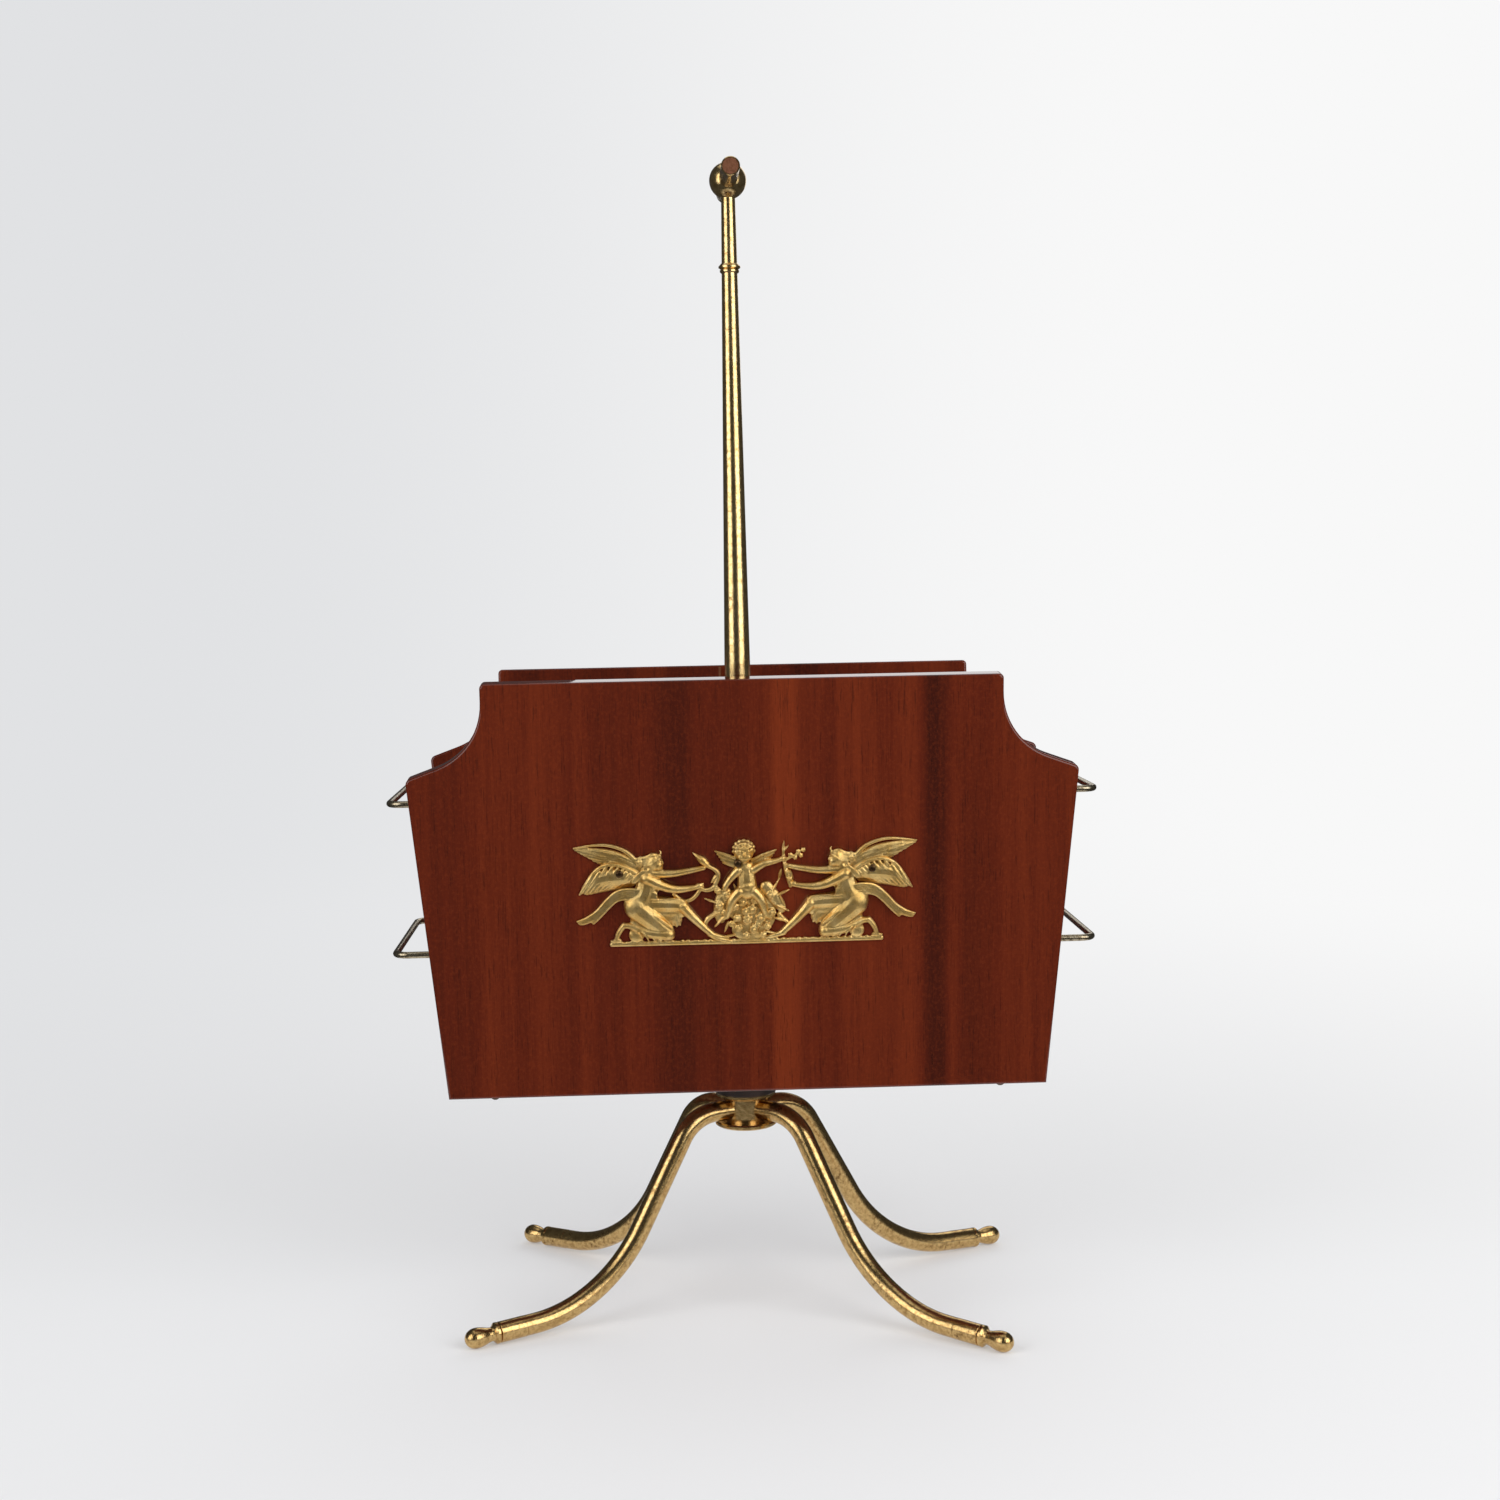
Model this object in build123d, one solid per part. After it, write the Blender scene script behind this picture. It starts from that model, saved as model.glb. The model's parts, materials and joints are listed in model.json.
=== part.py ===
from build123d import *
import math
import os

# Free-standing album rack: two splayed mahogany panels on a board, turning on a brass hub
# with four bent tube legs, and carried by a T-shaped grip on a tapered pole.
# Millimetres. The origin is on the floor under the swivel, +Z up, +X along the panels.

os.makedirs("parts", exist_ok=True)

# Panels
panel_thickness = 15.0
panel_height = 275.6  # along the panel's own slope
panel_bottom_width = 396.0
panel_ear_width = 436.0
panel_top_width = 336.8
panel_splay = 5.0  # degrees outwards from upright
panel_bottom_z = 160.0
panel_outer_y = 70.0  # outer face at the lower edge, from the centre
shoulder_drop = 12.0  # upright edge above the hollow of the shoulder
shoulder_radius = 45.0
shoulder_slope = 20.0  # degrees, from the hollow out to the ear
corner_radius = 3.0
edge_softening = 1.2

# Bottom board
board_thickness = 15.0
board_length = 388.0
dowel_radius = 3.0
dowel_length = 24.0
dowel_spacing = 108.0
dowel_centre_inset = 1.5  # of a dowel's middle from the panel's inner face, towards the board

# End rails
rail_wire_radius = 2.2
rail_reach_x = 230.0
rail_bend_radius = 9.0
rail_depth_in_panel = 14.0
rail_heights = {"lower": 97.5, "upper": 197.5}  # above the panels' lower edges

# Grip pole
pole_bottom_radius = 12.2
pole_top_radius = 4.7
pole_top_z = 755.0
pole_wall = 1.4
pole_bead_z = 706.0
pole_bead_radius = 7.4
pole_bead_height = 6.4
pole_collar_radius = 19.0
pole_collar_height = 6.0  # above the board
pole_collar_rim = 2.2
collar_recess = 1.0  # depth that the pole and its collar are let into the board
collar_screw_circle = 15.6
collar_screw_count = 3
collar_screw_radius = 1.2
collar_screw_head_radius = 2.2
collar_screw_depth = 8.0
grip_z = 764.0
ball_radius = 12.5
bar_radius = 6.2
bar_length = 112.0
bar_wall = 0.9
plug_depth = 6.0

# Swivel
spindle_radius = 4.0
running_clearance = 0.05
bush_radius = 7.0
disc_radius = 21.5
thrust_gap = 0.1
spindle_head_radius = 7.0
spindle_head_height = 3.0
washer_radius = 9.0
washer_thickness = 1.5
nut_across_flats = 13.0
nut_height = 6.5

# Hub
hub_bottom_z = 120.5
bottom_plate_thickness = 3.5
bottom_plate_radius = 21.2
drum_radius = 14.2
drum_height = 16.3
top_plate_radius = 20.6
top_plate_thickness = 3.4

# Legs
leg_radius = 6.8
leg_wall = 1.2
leg_azimuth = 33.25  # degrees from the base's own long axis
base_turn = -6.5  # degrees, the base's rest position against the rack
foot_centre_radius = 205.0
upper_bend_radius = 30.0
upper_bend_angle = 60.0
sweep_radius = 105.0
sweep_end_angle = 26.0
toe_radius = 90.0
toe_angle = 3.0
toe_run = 42.0  # level distance from the last bend to the middle of the bulb
tenon_radius = 3.5
tenon_inner_end = 8.6
leg_plug_end = 20.0
leg_screw_radius = 1.5
leg_screw_head_radius = 2.7
leg_screw_circle = 11.3
leg_screw_length = 11.0

# Feet
foot_bulb_radius = 6.7
foot_bulb_length = 17.0
foot_bulb_back_share = 0.56  # of the bulb's length that lies behind its widest place
foot_neck_radius = 4.6
foot_neck_length = 3.2
foot_bead_radius = 7.0
foot_bead_length = 3.8
sleeve_length = 18.0
sleeve_radius = 6.9
foot_spigot_length = 14.0

# Relief on the front panel
relief_thickness = 2.6
relief_base_height = 103.0  # of its ground line above the panel's lower edge
relief_half_length = 88.0
relief_pin_radius = 2.4
relief_pin_spots = [(-81.5, 46.5), (81.5, 46.5), (-4.5, 53.0)]

# Pins under the panels
underside_pin_x = 168.0
underside_pin_radius = 2.6
underside_pin_height = 2.0
underside_pin_shank = 9.0

board_top_z = panel_bottom_z + board_thickness
recess_z = board_top_z - collar_recess
shoulder_turn = math.radians(90 - shoulder_slope)
hollow_end_x = panel_top_width / 2 + shoulder_radius * (1 - math.cos(shoulder_turn))
hollow_end_height = panel_height - shoulder_drop - shoulder_radius * math.sin(shoulder_turn)
ear_fall = (panel_ear_width / 2 - hollow_end_x) * math.tan(math.radians(shoulder_slope))
ear_height = hollow_end_height - ear_fall
drum_bottom_z = hub_bottom_z + bottom_plate_thickness
drum_top_z = drum_bottom_z + drum_height
hub_top_z = drum_top_z + top_plate_thickness
disc_bottom_z = hub_top_z + thrust_gap
leg_top_z = drum_bottom_z + drum_height / 2
foot_bulb_z = foot_bulb_radius
foot_bulb_back = foot_bulb_length * foot_bulb_back_share
bead_end = foot_neck_length + foot_bulb_back  # from the bulb's middle back to the bead
sleeve_start = bead_end + foot_bead_length + sleeve_length
leg_tail = toe_run / math.cos(math.radians(toe_angle)) - sleeve_start
corners = {
    "front_left": 180 + leg_azimuth,
    "front_right": -leg_azimuth,
    "rear_right": leg_azimuth,
    "rear_left": 180 - leg_azimuth,
}


def turned(points):
    """A solid of revolution about Z from an outline of (radius, height) points."""
    outline = Polyline(*[(radius, 0, height) for radius, height in points], close=True)
    return revolve(make_face(outline), Axis.Z, 360)


def rod(radius, low, high):
    return Pos(0, 0, low) * Cylinder(
        radius, high - low, align=(Align.CENTER, Align.CENTER, Align.MIN)
    )


def panel_outline():
    """The panel's face, upright in its own XY: concave shoulders and pointed ears."""
    half_bottom = panel_bottom_width / 2
    half_ear = panel_ear_width / 2
    half_top = panel_top_width / 2
    hollow_start = Vector(half_top, panel_height - shoulder_drop)
    hollow_middle = hollow_start + Vector(
        shoulder_radius * (1 - math.cos(shoulder_turn / 2)),
        -shoulder_radius * math.sin(shoulder_turn / 2),
    )
    hollow_end = Vector(hollow_end_x, hollow_end_height)
    ear = Vector(half_ear, ear_height)
    right = Polyline((0, 0), (half_bottom, 0), ear, hollow_end)
    right += ThreePointArc(hollow_end, hollow_middle, hollow_start)
    right += Polyline(hollow_start, (half_top, panel_height), (0, panel_height))
    face = make_face(right + mirror(right, Plane.YZ))
    sharp = [
        v
        for v in face.vertices()
        if abs(abs(v.X) - half_top) < 0.01
        and abs(v.Y - panel_height) < 0.01
        or abs(abs(v.X) - half_ear) < 0.01
    ]
    return fillet(sharp, corner_radius)


def panel_place(side):
    """Where a panel stands: side -1 is the front one, +1 the rear one."""
    foot_line = (0, side * panel_outer_y, panel_bottom_z)
    upright = Plane(origin=foot_line, x_dir=(-side, 0, 0), z_dir=(0, side, 0))
    return upright.location * Rot(panel_splay, 0, 0)


def rail_place(height, side):
    """A rail's end in the middle of a panel's thickness: its y and z."""
    middle = panel_outer_y - panel_thickness / 2
    slope = math.tan(math.radians(panel_splay))
    return side * (middle + height * slope), panel_bottom_z + height


def panel(side):
    blank = extrude(panel_outline(), -panel_thickness)
    softened = [
        e
        for e in blank.edges()
        if abs(e.bounding_box().size.Z) < 0.01 and abs(e.center().Z) < 0.01
    ]
    blank = chamfer(softened, edge_softening)
    placed = panel_place(side) * blank
    for holes in (rail_wires(), dowels(side), underside_pins()):
        placed -= holes
    if side < 0:
        placed -= relief_pins()
    return placed


def bottom_board():
    """The bed, its long edges cut to the panels' slope, with a recess for the collar."""
    inner = panel_outer_y - panel_thickness / math.cos(math.radians(panel_splay))
    spread = board_thickness * math.tan(math.radians(panel_splay))
    section = Polyline(
        (0, -inner, panel_bottom_z),
        (0, inner, panel_bottom_z),
        (0, inner + spread, board_top_z),
        (0, -inner - spread, board_top_z),
        close=True,
    )
    board = extrude(make_face(section), board_length / 2, dir=(1, 0, 0), both=True)
    board -= rod(bush_radius, panel_bottom_z, board_top_z)
    board -= rod(pole_collar_radius, recess_z, board_top_z)
    board -= dowels(-1) + dowels(1)
    return board - collar_screws()


def dowels(side):
    """Four glued dowels across one joint between a panel and the board."""
    z = panel_bottom_z + board_thickness / 2
    middle = panel_outer_y - panel_thickness - dowel_centre_inset
    pegs = []
    for step in (-1.5, -0.5, 0.5, 1.5):
        peg = Rot(90, 0, 0) * Cylinder(dowel_radius, dowel_length)
        pegs.append(Pos(step * dowel_spacing, side * middle, z) * peg)
    return Compound(pegs)


def underside_pins():
    """Domed pins driven into the panels' lower edges, near the ends."""
    middle = panel_outer_y - panel_thickness / 2
    shank_top = panel_bottom_z + underside_pin_shank
    head_low = panel_bottom_z - underside_pin_height
    pins = []
    for x in (-underside_pin_x, underside_pin_x):
        for y in (-middle, middle):
            shank = rod(underside_pin_radius / 2, panel_bottom_z - 0.5, shank_top)
            head = turned(
                [
                    (0, panel_bottom_z + 0.6),
                    (underside_pin_radius, panel_bottom_z + 0.6),
                    (underside_pin_radius, head_low + 0.8),
                    (underside_pin_radius * 0.6, head_low),
                    (0, head_low),
                ]
            )
            pins.append(Pos(x, y, 0) * (shank + head))
    return Compound(pins)


def rail(level, end):
    """A U of wire across one end, its tips let into the two panels' edges."""
    height = rail_heights[level]
    y, z = rail_place(height, 1)
    edge = panel_bottom_width / 2
    edge += (panel_ear_width - panel_bottom_width) / 2 * height / ear_height
    tip = edge - rail_depth_in_panel
    path = FilletPolyline(
        (end * tip, -y, z),
        (end * rail_reach_x, -y, z),
        (end * rail_reach_x, y, z),
        (end * tip, y, z),
        radius=rail_bend_radius,
    )
    start = Plane(origin=path @ 0, z_dir=path % 0)
    return sweep(start * Circle(rail_wire_radius), path=path)


def rail_wires():
    return Compound([rail(level, end) for level in rail_heights for end in (-1, 1)])


def pole_blank(wall=0.0):
    """The pole's long taper from the board up into the ball, or the bore inside its wall."""
    return turned(
        [
            (0, recess_z),
            (pole_bottom_radius - wall, recess_z),
            (pole_top_radius - wall, pole_top_z),
            (0, pole_top_z),
        ]
    )


def pole():
    return pole_blank() - pole_blank(pole_wall)


def pole_bead():
    """A turned ring on the pole: a sharp rim over a smaller one."""
    low = pole_bead_z - pole_bead_height / 2
    rim = low + pole_bead_height * 0.62
    top = low + pole_bead_height
    ring = turned(
        [
            (0, low),
            (pole_bead_radius * 0.78, low),
            (pole_bead_radius * 0.88, low + 0.8),
            (pole_bead_radius * 0.88, low + 1.9),
            (pole_bead_radius * 0.8, low + 2.5),
            (pole_bead_radius, rim - 0.5),
            (pole_bead_radius, rim + 0.5),
            (pole_bead_radius * 0.76, top),
            (0, top),
        ]
    )
    return ring - pole_blank()


def pole_collar():
    top = board_top_z + pole_collar_height
    ring = turned(
        [
            (0, recess_z),
            (pole_collar_radius, recess_z),
            (pole_collar_radius, board_top_z + pole_collar_rim),
            (pole_collar_radius - 1.0, board_top_z + pole_collar_rim + 0.8),
            (pole_bottom_radius + 1.4, top),
            (0, top),
        ]
    )
    return ring - pole_blank() - collar_screws()


def collar_screws():
    head_low = board_top_z + 1.2
    screws = []
    for step in range(collar_screw_count):
        shank = rod(collar_screw_radius, recess_z - collar_screw_depth, head_low + 0.3)
        head = rod(collar_screw_head_radius, head_low, board_top_z + pole_collar_rim + 1.4)
        spot = Rot(0, 0, 90 + step * 360 / collar_screw_count)
        spot *= Pos(collar_screw_circle, 0, 0)
        screws.append(spot * (shank + head))
    return Compound(screws)


def grip_ball():
    ball = Pos(0, 0, grip_z) * Sphere(ball_radius)
    ball -= pole_blank()
    return ball - bar_blank()


def bar_blank():
    return Pos(0, 0, grip_z) * Rot(90, 0, 0) * Cylinder(bar_radius, bar_length)


def grip_bar():
    """The crosswise carrying bar, a tube through the ball, softened at its ends."""
    tube = bar_blank()
    tube = chamfer(tube.edges().filter_by(GeomType.CIRCLE), 0.5)
    bore = Cylinder(bar_radius - bar_wall, bar_length)
    return tube - Pos(0, 0, grip_z) * Rot(90, 0, 0) * bore


def bar_plug(side):
    outer = side * (bar_length / 2 - 0.3)
    y = outer - side * plug_depth / 2
    plug = Rot(90, 0, 0) * Cylinder(bar_radius - bar_wall, plug_depth)
    return Pos(0, y, grip_z) * plug


def swivel_disc():
    """The dark turned boss that stands between the hub and the board."""
    boss = turned(
        [
            (0, disc_bottom_z),
            (disc_radius - 0.8, disc_bottom_z),
            (disc_radius, disc_bottom_z + 0.8),
            (disc_radius, panel_bottom_z),
            (0, panel_bottom_z),
        ]
    )
    return boss - rod(bush_radius, disc_bottom_z, panel_bottom_z)


def swivel_bush():
    bush = rod(bush_radius, disc_bottom_z, board_top_z)
    return bush - rod(spindle_radius + running_clearance, disc_bottom_z, board_top_z)


def swivel_spindle():
    """The fixed bolt the rack turns on, its head let into the underside of the hub."""
    head_low = drum_bottom_z - spindle_head_height
    top = board_top_z + thrust_gap + washer_thickness + nut_height + 3
    head = rod(spindle_head_radius, head_low, drum_bottom_z)
    return head + rod(spindle_radius, head_low, top)


def swivel_washer():
    low = board_top_z + thrust_gap
    ring = rod(washer_radius, low, low + washer_thickness)
    return ring - rod(spindle_radius, low, low + washer_thickness)


def swivel_nut():
    low = board_top_z + thrust_gap + washer_thickness
    hexagon = RegularPolygon(nut_across_flats / 2, 6, major_radius=False)
    nut = Pos(0, 0, low) * extrude(hexagon, nut_height)
    return nut - rod(spindle_radius, low, low + nut_height)


def hub_bottom_plate():
    plate = turned(
        [
            (0, hub_bottom_z),
            (bottom_plate_radius - 1.2, hub_bottom_z),
            (bottom_plate_radius, hub_bottom_z + 1.0),
            (bottom_plate_radius, drum_bottom_z - 1.0),
            (bottom_plate_radius - 0.8, drum_bottom_z),
            (0, drum_bottom_z),
        ]
    )
    plate -= rod(spindle_head_radius, hub_bottom_z, drum_bottom_z)
    return plate - leg_screws()


def hub_drum():
    drum = rod(drum_radius, drum_bottom_z, drum_top_z)
    drum -= rod(spindle_radius, drum_bottom_z, drum_top_z)
    for angle in corners.values():
        drum -= base_spot(angle) * leg_tenon()
    return drum - leg_screws()


def hub_top_plate():
    plate = turned(
        [
            (0, drum_top_z),
            (top_plate_radius - 3.2, drum_top_z),
            (top_plate_radius, drum_top_z + 1.8),
            (top_plate_radius, hub_top_z),
            (0, hub_top_z),
        ]
    )
    return plate - rod(spindle_radius, drum_top_z, hub_top_z)


def leg_screws():
    """Countersunk screws up through the hub into the legs' tenons."""
    screws = []
    for angle in corners.values():
        screw = turned(
            [
                (0, hub_bottom_z),
                (leg_screw_head_radius, hub_bottom_z),
                (leg_screw_radius, hub_bottom_z + 1.5),
                (leg_screw_radius, hub_bottom_z + leg_screw_length),
                (0, hub_bottom_z + leg_screw_length),
            ]
        )
        screws.append(base_spot(angle) * Pos(leg_screw_circle, 0, 0) * screw)
    return Compound(screws)


def base_spot(angle):
    return Rot(0, 0, base_turn + angle)


def leg_line(start_radius):
    """One leg's centre line in its own upright plane, from the hub to the sleeve.

    Level out of the hub, a tight bend down, a straight run, then a long sweep that
    flattens towards the toe. The straight run's length brings the toe to the floor.
    """
    upper = math.radians(upper_bend_angle)
    middle = math.radians(sweep_end_angle)
    toe = math.radians(toe_angle)
    toe_drop = toe_run * math.tan(toe)
    bends_drop = upper_bend_radius * (1 - math.cos(upper))
    bends_drop += sweep_radius * (math.cos(middle) - math.cos(upper))
    bends_drop += toe_radius * (math.cos(toe) - math.cos(middle))
    run = (leg_top_z - foot_bulb_z - toe_drop - bends_drop) / math.sin(upper)
    reach = upper_bend_radius * math.sin(upper) + run * math.cos(upper)
    reach += sweep_radius * (math.sin(upper) - math.sin(middle))
    reach += toe_radius * (math.sin(middle) - math.sin(toe))
    level_end = foot_centre_radius - toe_run - reach
    with BuildLine(Plane.XZ) as line:
        level = Line((start_radius, leg_top_z), (level_end, leg_top_z))
        bend = JernArc(level @ 1, level % 1, upper_bend_radius, -upper_bend_angle)
        slope = Line(bend @ 1, bend @ 1 + (bend % 1) * run)
        turn = upper_bend_angle - sweep_end_angle
        long_sweep = JernArc(slope @ 1, slope % 1, sweep_radius, turn)
        turn = sweep_end_angle - toe_angle
        short_sweep = JernArc(long_sweep @ 1, long_sweep % 1, toe_radius, turn)
        Line(short_sweep @ 1, short_sweep @ 1 + (short_sweep % 1) * leg_tail)
    return line.wires()[0]


def toe_spot():
    """Where the toe's axis meets the middle of the bulb, X pointing outwards."""
    return Pos(foot_centre_radius, 0, foot_bulb_z) * Rot(0, toe_angle, 0)


def swept_tube(line, radius):
    start = Plane(origin=line @ 0, z_dir=line % 0)
    return sweep(start * Circle(radius), path=line)


def leg_tenon():
    length = drum_radius + 1.0 - tenon_inner_end
    tenon = Rot(0, 90, 0) * Cylinder(tenon_radius, length)
    return Pos(tenon_inner_end + length / 2, 0, leg_top_z) * tenon


def leg(angle):
    tube = swept_tube(leg_line(drum_radius - 2.0), leg_radius)
    tube -= swept_tube(leg_line(leg_plug_end), leg_radius - leg_wall)
    tube -= rod(drum_radius, drum_bottom_z - 5, drum_top_z + 5)
    placed = base_spot(angle) * (tube + leg_tenon())
    return placed - leg_screws()


def along_toe(points, angle):
    """A turned piece on the toe's axis; distances count outwards from the bulb's middle."""
    piece = Rot(0, 90, 0) * turned(points)
    return base_spot(angle) * toe_spot() * piece


def foot_sleeve(angle):
    far = -sleeve_start
    near = far + sleeve_length
    bore = leg_radius - leg_wall
    outline = [
        (bore, far),
        (sleeve_radius - 0.3, far),
        (sleeve_radius, far + 0.3),
        (sleeve_radius, near - 0.3),
        (sleeve_radius - 0.3, near),
        (bore, near),
    ]
    return along_toe(outline, angle)


def foot(angle):
    """The turned toe: a spigot in the sleeve, a ring bead, a waist and an acorn bulb."""
    bore = leg_radius - leg_wall
    bead_far = -(bead_end + foot_bead_length)
    bead_near = -bead_end
    front = foot_bulb_length - foot_bulb_back
    outline = [
        (0, bead_far - foot_spigot_length),
        (bore, bead_far - foot_spigot_length),
        (bore, bead_far),
        (foot_bead_radius - 1.0, bead_far),
        (foot_bead_radius, bead_far + 1.1),
        (foot_bead_radius, bead_near - 1.1),
        (foot_bead_radius - 1.2, bead_near),
        (foot_neck_radius + 0.3, bead_near + 0.6),
        (foot_neck_radius, bead_near + foot_neck_length * 0.6),
    ]
    for step in range(1, 9):
        share = math.radians(90 * step / 8)
        swell = foot_neck_radius + (foot_bulb_radius - foot_neck_radius) * math.sin(share)
        outline.append((swell, -foot_bulb_back * (1 - step / 8)))
    for step in range(1, 10):
        share = math.radians(90 * step / 9)
        outline.append((foot_bulb_radius * math.cos(share), front * math.sin(share)))
    outline[-1] = (0, front)
    return along_toe(outline, angle)


def spot(x, y, across, high, tilt=0):
    return Pos(x, y) * Rot(0, 0, tilt) * Ellipse(across / 2, high / 2)


def limb(*stations):
    """A tapering limb through (x, y, radius) stations."""
    pieces = []
    for (x1, y1, r1), (x2, y2, r2) in zip(stations, stations[1:]):
        ends = Pos(x1, y1) * Circle(r1) + Pos(x2, y2) * Circle(r2)
        pieces.append(make_hull(ends.edges()))
    return Sketch() + pieces


def winged_figure():
    """The right-hand kneeling figure in outline, on its ground line at y = 0."""
    shape = limb((31, 3, 3.2), (46, 20, 7.5), (54, 27, 6.8), (57, 42, 6.5))
    shape += limb((46, 20, 7), (63, 16, 5.5), (72, 5, 3.2), (66, 2.5, 2.6))
    shape += limb((60, 30, 5), (78, 28, 3.4), (92, 17, 3), (108, 12.5, 2))
    shape += limb((56, 45, 5), (44, 50, 3.2), (22, 43, 2.4))
    shape += limb((55, 40, 4), (42, 38, 2.6), (24, 39, 2))
    shape += spot(55.5, 55.5, 14, 13)
    wing_high = Spline((60, 44), (72, 62), (92, 66.5), (111, 65))
    wing_high += Line((111, 65), (92, 52)) + Line((92, 52), (60, 44))
    wing_low = Spline((62, 40), (78, 55), (96, 48), (108, 31))
    wing_low += Line((108, 31), (62, 36)) + Line((62, 36), (62, 40))
    shape += make_face(wing_high)
    shape += make_face(wing_low)
    return shape


def centre_group():
    """The seated cherub over a mound of rocks and leaves."""
    shape = spot(0, 26, 34, 34) + spot(-12, 22, 22, 16) + spot(12, 26, 20, 20)
    shape += limb((-9, 8, 7), (9, 8, 7))
    shape += limb((-2, 40, 7), (-3, 52, 6))
    shape += spot(-3, 60, 15, 14.5)
    shape += limb((2, 52, 4), (18, 54, 2), (25, 58, 2), (25, 42, 2.2))
    shape += limb((-4, 54, 3.5), (-13, 60, 3), (-21, 60, 1.2))
    shape += limb((4, 55, 3.5), (12, 60, 3), (20, 62, 1.2))
    return shape


def relief():
    """The openwork mount, its back on the front panel's outer face."""
    right = winged_figure()
    left = mirror(right, Plane.YZ)
    ground = Pos(0, 0.5) * Rectangle(2 * relief_half_length, 3.4)
    roots = limb((-30, 20, 2.5), (-24, 8, 2), (-14, 1, 2))
    roots += limb((30, 20, 2.5), (24, 8, 2), (14, 1, 2))
    sketch = right + left + centre_group() + ground + roots
    casting = extrude(sketch, relief_thickness)
    placed = panel_place(-1) * Pos(0, relief_base_height, 0) * casting
    return placed - relief_pins()


def relief_pins():
    """Round-headed brass pins that hold the mount to the panel."""
    pins = []
    for x, y in relief_pin_spots:
        shank = Cylinder(relief_pin_radius / 2, 10)
        head = Cylinder(relief_pin_radius, relief_thickness)
        pin = Pos(0, 0, relief_thickness - 5) * shank
        pin += Pos(0, 0, relief_thickness) * head
        pins.append(panel_place(-1) * Pos(x, relief_base_height + y, 0) * pin)
    return Compound(pins)


def write(name, shape):
    export_step(shape, f"parts/{name}.step")
    print(name)


write("hub_bottom_plate", hub_bottom_plate())
write("hub_drum", hub_drum())
write("hub_top_plate", hub_top_plate())
write("leg_screws", leg_screws())
for corner, azimuth in corners.items():
    write(f"leg_{corner}", leg(azimuth))
    write(f"foot_sleeve_{corner}", foot_sleeve(azimuth))
    write(f"foot_{corner}", foot(azimuth))
write("swivel_spindle", swivel_spindle())
write("swivel_washer", swivel_washer())
write("swivel_nut", swivel_nut())
write("swivel_bush", swivel_bush())
write("swivel_disc", swivel_disc())
write("bottom_board", bottom_board())
write("front_panel", panel(-1))
write("rear_panel", panel(1))
write("dowels_front", dowels(-1))
write("dowels_rear", dowels(1))
write("underside_pins", underside_pins())
for level in rail_heights:
    write(f"rail_{level}_left", rail(level, -1))
    write(f"rail_{level}_right", rail(level, 1))
write("grip_pole", pole())
write("pole_bead", pole_bead())
write("pole_collar", pole_collar())
write("collar_screws", collar_screws())
write("grip_ball", grip_ball())
write("grip_bar", grip_bar())
write("bar_plug_front", bar_plug(-1))
write("bar_plug_rear", bar_plug(1))
write("relief_mount", relief())
write("relief_pins", relief_pins())
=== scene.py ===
import json
import math

import bmesh
import bpy
from mathutils import Matrix, Vector


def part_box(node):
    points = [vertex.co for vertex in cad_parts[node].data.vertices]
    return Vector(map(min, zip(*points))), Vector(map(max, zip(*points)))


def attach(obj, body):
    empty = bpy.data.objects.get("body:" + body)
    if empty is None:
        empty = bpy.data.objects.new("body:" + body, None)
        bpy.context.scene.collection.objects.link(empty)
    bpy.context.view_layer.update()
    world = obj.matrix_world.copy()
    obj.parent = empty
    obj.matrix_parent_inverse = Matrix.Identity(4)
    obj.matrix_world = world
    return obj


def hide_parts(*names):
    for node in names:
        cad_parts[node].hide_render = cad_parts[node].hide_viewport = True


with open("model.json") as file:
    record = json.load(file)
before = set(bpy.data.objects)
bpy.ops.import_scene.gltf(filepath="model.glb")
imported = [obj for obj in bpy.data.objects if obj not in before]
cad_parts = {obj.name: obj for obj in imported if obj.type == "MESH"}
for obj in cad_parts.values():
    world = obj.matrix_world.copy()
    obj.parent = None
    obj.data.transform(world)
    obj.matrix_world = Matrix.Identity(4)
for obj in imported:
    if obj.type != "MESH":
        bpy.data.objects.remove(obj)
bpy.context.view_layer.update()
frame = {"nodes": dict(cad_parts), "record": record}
nodes = frame["nodes"]
print("frame loaded:", len(nodes), "nodes")


class Wire:
    # one socket that adds its own Math nodes, so that masks are written as sums
    def __init__(self, paint, socket):
        self.paint = paint
        self.socket = socket

    def sum(self, operation, first, second):
        return self.paint.wire("ShaderNodeMath", {"operation": operation}, {0: first, 1: second})

    def __add__(self, other):
        return self.sum("ADD", self, other)

    __radd__ = __add__

    def __sub__(self, other):
        return self.sum("SUBTRACT", self, other)

    def __rsub__(self, other):
        return self.sum("SUBTRACT", other, self)

    def __mul__(self, other):
        return self.sum("MULTIPLY", self, other)

    __rmul__ = __mul__

    def size(self):
        return self.paint.wire("ShaderNodeMath", {"operation": "ABSOLUTE"}, {0: self})

    def larger(self, other):
        return self.sum("MAXIMUM", self, other)


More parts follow.
